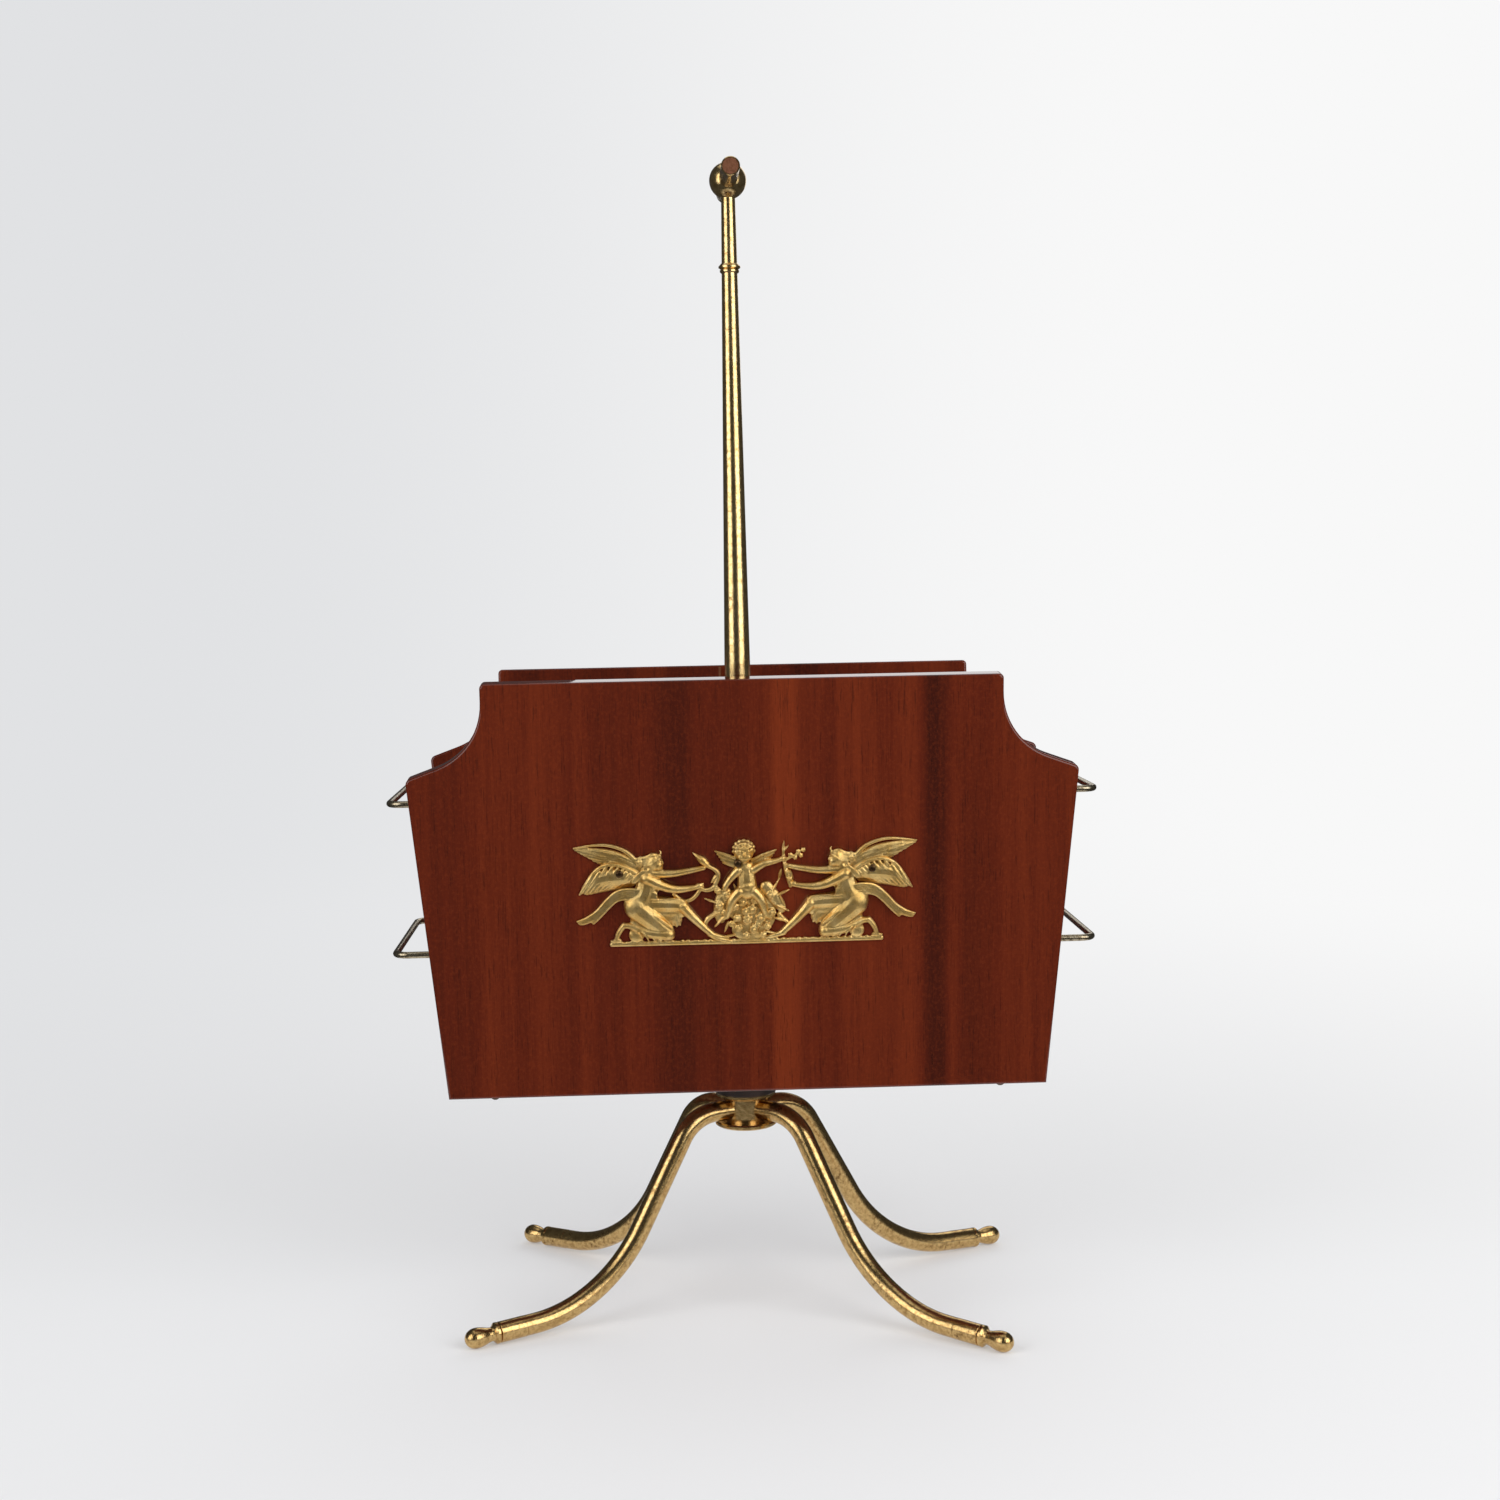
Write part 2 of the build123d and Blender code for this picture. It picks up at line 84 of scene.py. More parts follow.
class Paint:
    # one material and the few ways its nodes are added
    def __init__(self, name):
        self.material = bpy.data.materials.new(name)
        self.material.use_nodes = True
        self.tree = self.material.node_tree
        self.tree.nodes.clear()
        self.place = self.wire("ShaderNodeTexCoord", out="Object")

    def add(self, kind, settings=None, inputs=None):
        node = self.tree.nodes.new(kind)
        for key, value in (settings or {}).items():
            if key == "stops":
                self.stops(node.color_ramp, value)
            else:
                setattr(node, key, value)
        for key, value in (inputs or {}).items():
            if isinstance(value, Wire):
                self.tree.links.new(value.socket, node.inputs[key])
            else:
                node.inputs[key].default_value = value
        return node

    def wire(self, kind, settings=None, inputs=None, out=0):
        return Wire(self, self.add(kind, settings, inputs).outputs[out])

    def stops(self, ramp, stops):
        while len(ramp.elements) < len(stops):
            ramp.elements.new(1.0)
        for element, (position, value) in zip(ramp.elements, stops):
            element.position = position
            element.color = (value, value, value, 1) if isinstance(value, float) else (*value, 1)

    def stretched(self, scale):
        return self.wire("ShaderNodeMapping", None, {"Vector": self.place, "Scale": scale})

    def noise(self, scale, detail=3.0, stretch=(1, 1, 1), rough=0.5, warp=0.0):
        inputs = {"Vector": self.stretched(stretch), "Scale": scale, "Detail": detail,
                  "Roughness": rough, "Distortion": warp}
        return self.wire("ShaderNodeTexNoise", None, inputs)

    def ramp(self, fac, *stops):
        return self.wire("ShaderNodeValToRGB", {"stops": stops}, {"Fac": fac})

    def mask(self, fac, low, high):
        settings = {"interpolation_type": "SMOOTHSTEP"}
        return self.wire("ShaderNodeMapRange", settings, {"Value": fac, "From Min": low, "From Max": high})

    def mix(self, fac, first, second):
        first = first if isinstance(first, Wire) else (*first, 1)
        second = second if isinstance(second, Wire) else (*second, 1)
        settings = {"data_type": "RGBA", "blend_type": "MIX"}
        return self.wire("ShaderNodeMix", settings, {0: fac, 6: first, 7: second}, out=2)

    def bump(self, height, strength, distance):
        inputs = {"Height": height, "Strength": strength, "Distance": distance}
        return self.wire("ShaderNodeBump", None, inputs)

    def finish(self, inputs):
        shader = self.add("ShaderNodeBsdfPrincipled", None, inputs)
        output = self.add("ShaderNodeOutputMaterial")
        self.tree.links.new(shader.outputs[0], output.inputs[0])
        return self.material


def linear(level):
    # one channel, 0 to 255 as the eye sees it, as the amount of light that the shader takes
    share = level / 255
    return share / 12.92 if share < 0.04045 else ((share + 0.055) / 1.055) ** 2.4


def srgb(red, green, blue):
    return linear(red), linear(green), linear(blue)


mahogany = {
    "deep": srgb(52, 17, 9),
    "body": srgb(80, 27, 12),
    "light": srgb(108, 42, 18),
    "pore": srgb(36, 12, 7),
    "shimmer": srgb(132, 56, 26),
    "base": 0.46,  # the mean place of the tone between deep and light
    "wideShare": 0.75,
    "ribbonShare": 0.65,
    "fineShare": 0.42,
    "poreShare": 0.45,
    "shimmerShare": 0.16,
    "roughness": 0.55,
    "coatRoughness": 0.045,
    # where a ribbon of the veneer is lighter or darker: middle, half width, amount
    "frontBands": ((0.027, 0.013, 0.30), (0.124, 0.011, -0.34), (-0.046, 0.020, -0.12),
                   (-0.118, 0.030, 0.16),
                   (0.071, 0.018, 0.10), (-0.192, 0.020, -0.16), (0.178, 0.016, 0.14)),
    "rearBands": ((-0.060, 0.016, 0.28), (0.052, 0.014, -0.30), (0.140, 0.022, 0.16),
                  (-0.150, 0.018, -0.2)),
    "boardBands": (),
    "uprightGrain": (1, 0.2, 0.018),
    "lyingGrain": (0.018, 1, 0.2),
}


def makeMahogany(name, bands, grain):
    # ribbon-figured veneer under deep lacquer, its grain along the axis with the smallest number
    paint = Paint(name)
    cloud = tuple(0.06 if value < 0.1 else value for value in grain)
    pricks = tuple(value ** 0.75 for value in grain)
    wide = paint.noise(15.0, 2.0, cloud, 0.5, 0.1)
    ribbon = paint.noise(64.0, 2.0, grain, 0.5)
    fine = paint.noise(380.0, 3.0, grain, 0.6)
    x = paint.wire("ShaderNodeSeparateXYZ", None, {0: paint.place}, out="X")
    tone = mahogany["base"] + (wide - 0.5) * mahogany["wideShare"] + (ribbon - 0.5) * mahogany["ribbonShare"]
    tone = tone + (fine - 0.5) * mahogany["fineShare"]
    for middle, half, amount in bands:
        tone = tone + (1 - paint.mask((x - middle).size(), half * 0.35, half)) * amount
    colour = paint.ramp(tone, (0.0, mahogany["deep"]), (0.48, mahogany["body"]), (1.0, mahogany["light"]))
    flecks = paint.mask(paint.noise(1100.0, 2.0, pricks, 0.6), 0.56, 0.70)
    colour = paint.mix(flecks * mahogany["poreShare"], colour, mahogany["pore"])
    shimmer = paint.mask(paint.noise(520.0, 3.0, (1, 1, 0.8), 0.65), 0.42, 0.75)
    colour = paint.mix(shimmer * mahogany["shimmerShare"], colour, mahogany["shimmer"])
    orangePeel = paint.noise(60.0, 2.0)
    lacquer = paint.bump(orangePeel * 0.6 - flecks * 0.15, 0.05, 0.0005)
    return paint.finish({"Base Color": colour, "Roughness": mahogany["roughness"] + flecks * 0.1,
                         "Normal": lacquer, "Specular IOR Level": 0.0, "Coat Weight": 1.0,
                         "Coat Roughness": mahogany["coatRoughness"], "Coat IOR": 1.5})


brasses = {
    # share is how much of the surface the brown tarnish takes, 0 to 1, and a larger scale makes finer marks
    "aged_brass": {"bright": srgb(218, 184, 124), "dull": srgb(180, 144, 90), "tarnish": srgb(90, 66, 40),
                   "share": 0.36, "roughness": 0.13, "scale": 1.7, "pitting": 0.2},
    "polished_brass": {"bright": srgb(236, 206, 148), "dull": srgb(204, 168, 108),
                       "tarnish": srgb(100, 72, 42),
                       "share": 0.28, "roughness": 0.12, "scale": 1.6, "pitting": 0.2},
    "dark_brass": {"bright": srgb(104, 80, 54), "dull": srgb(76, 56, 38), "tarnish": srgb(34, 25, 18),
                   "share": 0.5, "roughness": 0.3, "scale": 1.0, "pitting": 0.12},
    "rail_wire_brass": {"bright": srgb(190, 178, 152), "dull": srgb(150, 132, 104),
                        "tarnish": srgb(62, 52, 40),
                        "share": 0.4, "roughness": 0.2, "scale": 2.0, "pitting": 0.12},
    "plug_brown": {"bright": srgb(158, 108, 82), "dull": srgb(134, 88, 64), "tarnish": srgb(78, 48, 34),
                   "share": 0.4, "roughness": 0.5, "scale": 3.0, "pitting": 0.3},
}


def makeBrass(name):
    # brass with clouds of tarnish, small dark spots and shallow pits
    brass = brasses[name]
    share = brass["share"]
    scale = brass["scale"]
    paint = Paint(name)
    cloud = paint.noise(34.0 * scale, 4.0, (1, 1, 1), 0.6, 0.3)
    blotch = paint.noise(210.0 * scale, 4.0, (1, 1, 1), 0.65, 0.2)
    specks = paint.noise(1100.0 * scale, 2.0, (1, 1, 1), 0.6)
    worn = paint.mask(cloud * 0.5 + blotch * 0.5, 0.66 - share * 0.36, 0.86 - share * 0.36)
    spots = paint.mask(specks, 0.60, 0.68) * 0.6
    tone = paint.mix(paint.mask(blotch, 0.35, 0.7), brass["bright"], brass["dull"])
    tone = paint.mix(worn.larger(spots), tone, brass["tarnish"])
    rough = paint.mask(cloud * 0.4 + specks * 0.6, 0.3, 0.7) * 0.12 + worn * 0.14 + brass["roughness"]
    dents = paint.bump(cloud * 0.3 + blotch * 0.4 + specks * 0.5, brass["pitting"], 0.0007)
    return paint.finish({"Base Color": tone, "Metallic": 1.0, "Roughness": rough, "Normal": dents})


gilt = {
    "bright": srgb(252, 216, 142),
    "warm": srgb(236, 190, 108),
    # hollow is the colour of the painted shade in the casting's hollows
    "hollow": srgb(104, 70, 32),
    "speck": srgb(112, 80, 38),
    "hollowShadeShare": 0.8,
    "speckShare": 0.5,
    "roughness": 0.22,
}


def makeGilt():
    # gilding on the casting, bright on what stands out, with painted shade that darkens the hollows brown
    paint = Paint("gilt_casting")
    raised = paint.mask(paint.wire("ShaderNodeNewGeometry", out="Pointiness"), 0.43, 0.515)
    cloud = paint.noise(90.0, 4.0, (1, 1, 1), 0.6, 0.3)
    specks = paint.noise(900.0, 4.0, (1, 1, 1), 0.7)
    tone = paint.mix(paint.mask(cloud, 0.3, 0.7), gilt["bright"], gilt["warm"])
    # painted shade: where pointiness finds a hollow, the gilt is darkened brown
    tone = paint.mix((1 - raised) * gilt["hollowShadeShare"], tone, gilt["hollow"])
    tone = paint.mix(paint.mask(specks, 0.54, 0.7) * gilt["speckShare"], tone, gilt["speck"])
    rough = gilt["roughness"] + specks * 0.16 + (1 - raised) * 0.15
    chased = paint.bump(specks * 0.7 + cloud * 0.3, 0.5, 0.0009)
    return paint.finish({"Base Color": tone, "Metallic": 1.0, "Roughness": rough, "Normal": chased})


def makeBoss():
    # near-black stained wood with a faint grain
    paint = Paint("ebonised_boss")
    grain = paint.noise(60.0, 4.0, (1, 1, 0.15), 0.6)
    tone = paint.mix(paint.mask(grain, 0.35, 0.7), srgb(30, 18, 13), srgb(52, 33, 24))
    rub = paint.bump(grain, 0.15, 0.0005)
    return paint.finish({"Base Color": tone, "Roughness": grain * 0.2 + 0.3, "Normal": rub})


def makeBeech():
    # pale bare wood, for the dowels
    paint = Paint("bare_beech")
    grain = paint.noise(90.0, 4.0, (1, 0.1, 1), 0.6)
    tone = paint.mix(grain, srgb(170, 130, 90), srgb(198, 160, 118))
    return paint.finish({"Base Color": tone, "Roughness": 0.7})


frontWood = makeMahogany("mahogany_front", mahogany["frontBands"], mahogany["uprightGrain"])
rearWood = makeMahogany("mahogany_rear", mahogany["rearBands"], mahogany["uprightGrain"])
finishes = {
    "aged_brass": makeBrass("aged_brass"),
    "polished_brass": makeBrass("polished_brass"),
    "dark_brass": makeBrass("dark_brass"),
    "rail_wire": makeBrass("rail_wire_brass"),
    "plug_brown": makeBrass("plug_brown"),
    "gilt_relief": makeGilt(),
    "mahogany": makeMahogany("mahogany_board", mahogany["boardBands"], mahogany["lyingGrain"]),
    "beech": makeBeech(),
    "dark_boss": makeBoss(),
}


def dressNodes():
    # every CAD node takes the finish of its own slot
    for row in frame["record"]["subparts"]:
        mesh = nodes[row["node"]].data
        mesh.materials.clear()
        mesh.materials.append(finishes[row["material_slot"]])


dressNodes()
print("materials made:", len(finishes) + 2)


def toObject(mesh, name, material):
    # the finished mesh as a smooth-shaded object in the scene
    data = bpy.data.meshes.new(name)
    mesh.to_mesh(data)
    mesh.free()
    thing = bpy.data.objects.new(name, data)
    bpy.context.scene.collection.objects.link(thing)
    for face in data.polygons:
        face.use_smooth = True
    if material:
        data.materials.append(material)
    return thing


panel = {
    "splay": 5.0,  # degrees outwards from upright
    "thickness": 0.015,
    "height": 0.2756,  # along the panel's own slope
    "halfBottom": 0.198,
    "halfEar": 0.218,
    "halfTop": 0.1684,
    "shoulderDrop": 0.012,
    "shoulderRadius": 0.045,
    "shoulderSlope": 20.0,  # degrees that the ear falls outwards
    "shoulderSteps": 14,
    "cornerRadius": 0.003,
    "edgeRadius": 0.0017,
}


def panelPlace(side):
    # on the outer face's lower edge: y runs up the slope, z points out, and side -1 is the front
    splay = math.radians(panel["splay"])
    low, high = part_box("rear_panel")
    y = low.y + panel["thickness"] * math.cos(splay)
    z = high.z - panel["height"] * math.cos(splay) - panel["thickness"] * math.sin(splay)
    out = Vector((0, side * math.cos(splay), -math.sin(splay)))
    up = Vector((0, side * math.sin(splay), math.cos(splay)))
    across = up.cross(out)
    turned = Matrix((across, up, out)).transposed().to_4x4()
    return Matrix.Translation((0, side * y, z)) @ turned


def makePanel(name, node, side, wood):
    # half of the outline from a few corners and one spun shoulder, then mirrored
    mesh = bmesh.new()
    top = panel["height"]
    radius = panel["shoulderRadius"]
    turn = math.radians(90 - panel["shoulderSlope"])
    hollow = Vector((panel["halfTop"], top - panel["shoulderDrop"], 0))
    foot = mesh.verts.new((0, 0, 0))
    corner = mesh.verts.new((panel["halfBottom"], 0, 0))
    end = hollow + Vector((radius * (1 - math.cos(turn)), -radius * math.sin(turn), 0))
    fall = (panel["halfEar"] - end.x) * math.tan(math.radians(panel["shoulderSlope"]))
    ear = mesh.verts.new((panel["halfEar"], end.y - fall, 0))
    arc = mesh.verts.new(end)
    spun = bmesh.ops.spin(mesh, geom=[arc], axis=(0, 0, 1), cent=hollow + Vector((radius, 0, 0)),
                          angle=-turn, steps=panel["shoulderSteps"])
    mesh.verts.ensure_lookup_table()
    last = [item for item in spun["geom_last"] if isinstance(item, bmesh.types.BMVert)][0]
    shoulder = mesh.verts.new((panel["halfTop"], top, 0))
    middle = mesh.verts.new((0, top, 0))
    for pair in ((foot, corner), (corner, ear), (ear, arc), (last, shoulder), (shoulder, middle)):
        mesh.edges.new(pair)
    bmesh.ops.bevel(mesh, geom=[ear, shoulder], affect="VERTICES", offset=panel["cornerRadius"],
                    segments=5, profile=0.5, material=-1)
    bmesh.ops.mirror(mesh, geom=mesh.verts[:] + mesh.edges[:], axis="X", merge_dist=1e-5)
    face = bmesh.ops.contextual_create(mesh, geom=mesh.edges[:])["faces"][0]
    pushed = bmesh.ops.extrude_face_region(mesh, geom=[face])["geom"]
    back = [item for item in pushed if isinstance(item, bmesh.types.BMVert)]
    bmesh.ops.translate(mesh, verts=back, vec=(0, 0, -panel["thickness"]))
    if face not in mesh.faces[:]:
        mesh.faces.new([vert for vert in mesh.verts if abs(vert.co.z) < 1e-9])
    bmesh.ops.recalc_face_normals(mesh, faces=mesh.faces)
    rims = [edge for edge in mesh.edges if abs(edge.verts[0].co.z - edge.verts[1].co.z) < 1e-6]
    bmesh.ops.bevel(mesh, geom=rims, affect="EDGES", offset=panel["edgeRadius"], segments=4,
                    profile=0.5, material=-1)
    bmesh.ops.transform(mesh, matrix=panelPlace(side), verts=mesh.verts)
    bmesh.ops.recalc_face_normals(mesh, faces=mesh.faces)
    board = toObject(mesh, name, wood)
    board.modifiers.new("flat_faces", "WEIGHTED_NORMAL")
    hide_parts(node)
    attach(board, "rack")


makePanel("panel_front", "front_panel", -1, frontWood)
makePanel("panel_rear", "rear_panel", 1, rearWood)
print("panels made")


relief = {
    # all sizes of the casting are in millimetres, from the middle of its ground line
    "groundHeight": 103.0,  # of the ground line, up the panel's slope
    "barEnd": 88.0,
    "barStartLeft": 1.5,
    "barStartRight": 12.0,
    "turfStep": 2.1,
    "headPlace": (59.4, 54.6),
    "ballSegments": 20,
    "ballRings": 12,
    "voxel": 0.42,
    "sunk": 0.4,  # of its back into the panel's face
}


def reliefPlace():
    # from the casting's millimetres to its place on the front panel
    lift = Matrix.Translation((0, relief["groundHeight"] / 1000, 0)) @ Matrix.Scale(0.001, 4)
    return panelPlace(-1) @ lift


def makeBall():
    # the round lump that every shape of the relief starts from
    mesh = bmesh.new()
    bmesh.ops.create_uvsphere(mesh, u_segments=relief["ballSegments"], v_segments=relief["ballRings"],
                              radius=1)
    data = bpy.data.meshes.new("ball")
    mesh.to_mesh(data)
    mesh.free()
    return data


ball = makeBall()


class Clay:
    # soft shapes pressed together on the relief's own ground line, in millimetres
    def __init__(self):
        self.mesh = bmesh.new()

    def blob(self, place, size, turn=0):
        # a ball of three radii, turned by degrees on the panel
        shape = Matrix.Rotation(math.radians(turn), 4, "Z") @ Matrix.Diagonal((*size, 1))
        pressed = ball.copy()
        pressed.transform(Matrix.Translation(place) @ shape)
        self.press(pressed)

    def press(self, solid):
        self.mesh.from_mesh(solid, face_normals=False, vertex_normals=False)
        bpy.data.meshes.remove(solid)

    def stroke(self, *stations, flat=1.0):
        # a round-ended tube through (x, y, height, radius) stations
        line = bpy.data.curves.new("stroke", "CURVE")
        line.dimensions = "3D"
        line.bevel_depth = 1.0
        line.bevel_resolution = 3
        line.resolution_u = 6
        spline = line.splines.new("NURBS")
        spline.points.add(len(stations) - 1)
        for point, (x, y, height, radius) in zip(spline.points, stations):
            point.co = (x, y, height / flat, 1)
            point.radius = radius
        spline.order_u = 3
        spline.use_endpoint_u = True
        thing = bpy.data.objects.new("stroke", line)
        solid = bpy.data.meshes.new_from_object(thing)
        solid.transform(Matrix.Diagonal((1, 1, flat, 1)))
        self.press(solid)
        bpy.data.objects.remove(thing)
        bpy.data.curves.remove(line)
        for x, y, height, radius in (stations[0], stations[-1]):
            self.blob((x, y, height), (radius, radius, radius * flat))

    def feathers(self, roots, tips, count, radius, height):
        # overlapping feathers from one line to another, each a little higher than the last
        for step in range(count):
            share = step / (count - 1)
            root = along(roots, share)
            tip = along(tips, share)
            middle = root.lerp(tip, 0.55)
            lift = height + 0.25 * (step % 2)
            self.stroke((root.x, root.y, lift, radius * 0.7), (middle.x, middle.y, lift + 0.3, radius),
                        (tip.x, tip.y, lift * 0.6, radius * 0.4), flat=0.8)

    def leaf(self, x, y, height, length, turn, width):
        # width is a share of the length, and turn is in degrees from the right
        way = Vector((math.cos(math.radians(turn)), math.sin(math.radians(turn))))
        half = length * width / 2
        self.stroke((x, y, height, half * 0.4),
                    (x + way.x * length * 0.45, y + way.y * length * 0.45, height, half),
                    (x + way.x * length, y + way.y * length, height * 0.7, 0.35), flat=0.6)
        self.stroke((x, y, height + half * 0.55, 0.35),
                    (x + way.x * length * 0.8, y + way.y * length * 0.8, height + half * 0.4, 0.25))

    def blossom(self, x, y, height, radius, petals=6):
        # a ring of round petals about a raised heart
        for step in range(petals):
            angle = 2 * math.pi * step / petals + x
            self.blob((x + math.cos(angle) * radius * 0.62, y + math.sin(angle) * radius * 0.62, height),
                      (radius * 0.42, radius * 0.42, radius * 0.34))
        self.blob((x, y, height + radius * 0.2), (radius * 0.34, radius * 0.34, radius * 0.4))

    def mirror(self):
        # to the left of the middle
        bmesh.ops.scale(self.mesh, verts=self.mesh.verts, vec=(-1, 1, 1))
        bmesh.ops.reverse_faces(self.mesh, faces=self.mesh.faces)

    def cast(self, name):
        # fused into one skin, flattened behind and laid on the front panel
        rough = toObject(self.mesh, name + "_rough", None)
        fuse = rough.modifiers.new("fuse", "REMESH")
        fuse.mode = "VOXEL"
        fuse.voxel_size = relief["voxel"]
        bpy.context.view_layer.update()
        skin = bpy.data.meshes.new_from_object(rough.evaluated_get(bpy.context.evaluated_depsgraph_get()))
        bpy.data.objects.remove(rough)
        mesh = bmesh.new()
        mesh.from_mesh(skin)
        bpy.data.meshes.remove(skin)
        bmesh.ops.smooth_vert(mesh, verts=mesh.verts, factor=0.5, use_axis_x=True, use_axis_y=True,
                              use_axis_z=True)
        for vert in mesh.verts:
            vert.co.z = max(vert.co.z, -relief["sunk"])
        bmesh.ops.transform(mesh, matrix=reliefPlace(), verts=mesh.verts)
        piece = toObject(mesh, name, finishes["gilt_relief"])
        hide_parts("relief_mount")
        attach(piece, "rack")
        print(name, "cast:", len(piece.data.polygons), "faces")


def along(line, share):
    # the point a share of the way down a list of (x, y) points
    place = share * (len(line) - 1)
    start = min(int(place), len(line) - 2)
    return Vector(line[start]).lerp(Vector(line[start + 1]), place - start)


def modelWings(clay):
    # the raised wing behind, then the hanging one in front of it
    clay.stroke((68, 48, 1.6, 3.4), (76, 55, 1.6, 4.2), (88, 60, 1.2, 4.2), (103, 63, 1, 2.4),
                (109, 64, 0.8, 1.0), flat=0.45)
    clay.stroke((67, 49, 2.6, 1.4), (73, 60, 2.8, 1.5), (86, 66.4, 2.4, 1.2), (99, 67, 2, 0.9),
                (111.4, 64.8, 1.2, 0.5))
    clay.stroke((78, 55, 1.0, 5.5), (94, 60, 1.0, 4.6), (108, 63.6, 0.8, 1.4), flat=0.3)
    clay.stroke((76, 44, 1.2, 6), (90, 43.5, 1.2, 7.6), (103, 37.4, 1.0, 4.0), flat=0.3)
    clay.stroke((80, 41, 1.0, 4), (91, 39.5, 1.0, 4), (101, 36.2, 1.0, 2.6), flat=0.3)
    clay.feathers([(74, 56), (76, 53), (77, 52)], [(110.6, 63.6), (104.5, 59.8), (96, 54.6)], 7, 1.55, 1.9)
    clay.feathers([(70, 54), (73, 50)], [(88, 62.5), (86, 55.6)], 4, 1.5, 2.6)
    clay.stroke((72, 45, 2.2, 4.5), (84, 46, 2.2, 6.4), (95, 44.5, 1.8, 6), (103, 38.5, 1.2, 2.6),
                (106.5, 35, 1, 1.0), flat=0.45)
    clay.stroke((70, 47, 3.4, 1.2), (78, 52.5, 3.8, 1.3), (90, 54.8, 3.4, 1.3), (101, 48, 2.8, 1.1),
                (108.4, 33.8, 1.4, 0.5))
    clay.feathers([(98, 49), (90, 49), (80, 46), (74, 44)],
                  [(107.4, 34.4), (100.6, 34.9), (91.6, 37), (82.5, 39.4)], 9, 1.45, 3.0)
    clay.feathers([(90, 53), (80, 50), (73, 46)], [(95, 45.5), (86, 42.5), (78, 41.4)], 7, 1.35, 3.9)


def modelHead(clay, x, y):
    # a calm profile turned to the middle, its hair combed back into a knot
    clay.blob((x, y, 3.2), (5.2, 6.0, 3.7), 12)
    clay.blob((x - 2.2, y - 1.7, 4.0), (3.4, 3.6, 2.6))
    clay.stroke((x - 4.5, y + 1.6, 4.2, 0.6), (x - 6.0, y - 0.6, 3.9, 0.85), (x - 5.2, y - 0.9, 3.9, 0.7))
    clay.blob((x - 5.0, y - 2.2, 3.8), (0.9, 0.5, 0.8))
    clay.blob((x - 4.9, y - 3.1, 3.8), (0.9, 0.5, 0.8))
    clay.blob((x - 4.3, y - 4.5, 3.6), (1.4, 1.3, 1.2))
    clay.stroke((x - 5.0, y + 1.9, 4.6, 0.45), (x - 2.0, y + 2.2, 6.2, 0.45))
    clay.stroke((x - 4.4, y + 0.7, 5.2, 0.4), (x - 2.6, y + 0.6, 6.0, 0.4))
    clay.stroke((x + 0.6, y + 0.6, 6.2, 0.6), (x + 1.4, y - 0.8, 6.2, 0.7), (x + 0.8, y - 1.8, 6.0, 0.5))
    for step in range(7):
        rise = step - 3
        clay.stroke((x - 4.2 + abs(rise) * 0.2, y + 4.4 - step * 0.25, 3.2 + step * 0.45, 0.7),
                    (x + 0.5, y + 6.6 - step * 1.2, 4.4 + step * 0.4, 1.0),
                    (x + 5.4, y + 3.4 - step * 0.9, 4.2, 0.9), (x + 9, y + 1.2 - rise * 0.7, 3.2, 0.7))
    for step in range(8):
        angle = 2 * math.pi * step / 8
        clay.blob((x + 9 + math.cos(angle) * 2.3, y + 0.6 + math.sin(angle) * 2.5, 3), (1.4, 1.2, 1.5),
                  step * 45)
    clay.blob((x + 9, y + 0.6, 3.8), (1.7, 1.7, 1.5))
    for step in range(4):
        clay.stroke((x + 3 + step, y - 2, 4.4, 0.8), (x + 5.4 + step * 0.7, y - 5, 3.8, 0.8),
                    (x + 4.6 + step * 1.4, y - 8.4, 3.2, 0.5))
    clay.stroke((x - 3.6, y + 4.6, 4, 0.7), (x - 5.2, y + 7.0, 3.6, 0.6), (x - 3.6, y + 7.8, 3.4, 0.4))


def modelBody(clay):
    # kneeling on the near knee, both arms held out to the middle
    clay.stroke((65, 46, 2.8, 3.3), (62, 50, 3, 2.9))
    clay.stroke((64, 43, 2.6, 7.0), (63.5, 37, 2.8, 7.6), (68, 29, 2.6, 8.2), flat=0.55)
    clay.blob((58.6, 40.4, 4.4), (3.4, 3.6, 2.6))
    clay.blob((70.5, 26.5, 2.6), (9.4, 9.6, 3.9))
    clay.stroke((71, 25, 3, 8.6), (62, 17, 3.2, 8.2), (52.5, 8, 2.6, 5.4), flat=0.6)
    clay.stroke((51, 6.4, 2.4, 4.4), (62, 7.2, 2.6, 4.2), (70, 10, 2.2, 3.0), (76, 13, 1.8, 2.2),
                (80, 12.6, 1.6, 1.9))
    clay.stroke((79.6, 13, 1.6, 1.9), (84, 8.5, 1.5, 1.9), (85, 3.2, 1.3, 1.5))
    clay.stroke((83, 2.6, 1.4, 1.4), (88, 2.2, 1.2, 1.0))
    clay.stroke((66, 27, 2.2, 6.2), (54, 26.8, 2.2, 5.6), (42.5, 25.6, 2.4, 4.6), flat=0.7)
    clay.stroke((41.5, 25, 2.4, 4.0), (34, 15.5, 2, 3.0), (23, 5.6, 1.7, 2.2))
    clay.stroke((24, 5.6, 1.7, 2.1), (17, 3.4, 1.5, 1.7), (12.5, 2.6, 1.2, 1.1))
    clay.stroke((64.5, 44.4, 4, 4.1), (56, 39.6, 4.2, 3.5), (47, 36.4, 3.8, 2.9), (38, 36.6, 3.2, 2.2),
                (31.6, 37.6, 2.6, 1.7))
    clay.stroke((61, 47.4, 2.6, 3.1), (50, 46.4, 2.6, 2.7), (38, 48, 2.3, 2.2), (27.4, 50.2, 2.4, 1.7))
    clay.blob((30.6, 38.2, 2.6), (2.4, 1.9, 1.6), 10)
    for step in range(3):
        clay.stroke((30.5, 37.2 + step * 1.1, 3, 0.6), (27.8, 37.4 + step * 1.2, 2.6, 0.5))


